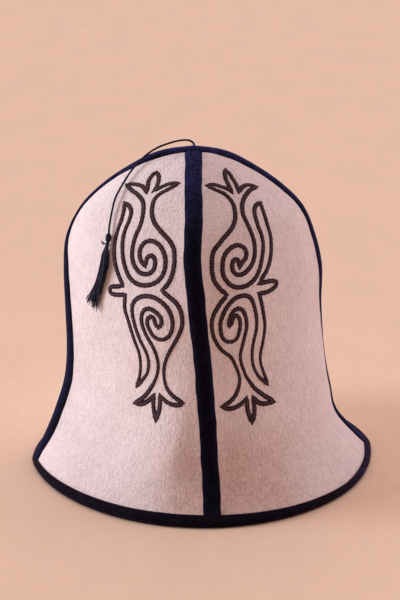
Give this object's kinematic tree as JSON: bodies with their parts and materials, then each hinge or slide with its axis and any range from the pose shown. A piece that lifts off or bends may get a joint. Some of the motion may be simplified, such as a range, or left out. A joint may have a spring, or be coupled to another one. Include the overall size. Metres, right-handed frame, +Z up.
{
  "type": "kalpak felt hat",
  "caption": "Tall bell-shaped felt hat of sewn gores with velvet tape on the seams, a bound flared brim and a corded tassel; worn on the head and stands open side down.",
  "frame": {"origin": "middle of the brim's box, on the surface that the brim stands on", "axes": "+Z up through the crown, -Y out of the front seam, +X to the wearer's left, which is the viewer's right from the front"},
  "size_m": [0.264, 0.2679, 0.2482],
  "materials": {
    "felt": "soft white wool felt, faintly rosy, matt and slightly mottled",
    "velvet_tape": "black-navy cotton velvet tape with a short pile",
    "yarn": "dark navy twisted yarn"
  },
  "bodies": {
    "root": {"felt_panel_front_left": "felt", "felt_panel_front_right": "felt", "felt_panel_back_left": "felt", "felt_panel_back_right": "felt", "seam_tape_across": "velvet_tape", "seam_tape_front": "velvet_tape", "seam_tape_back": "velvet_tape", "brim_binding": "velvet_tape", "tassel_cord": "yarn", "tassel": "yarn"}
  },
  "joints": []
}
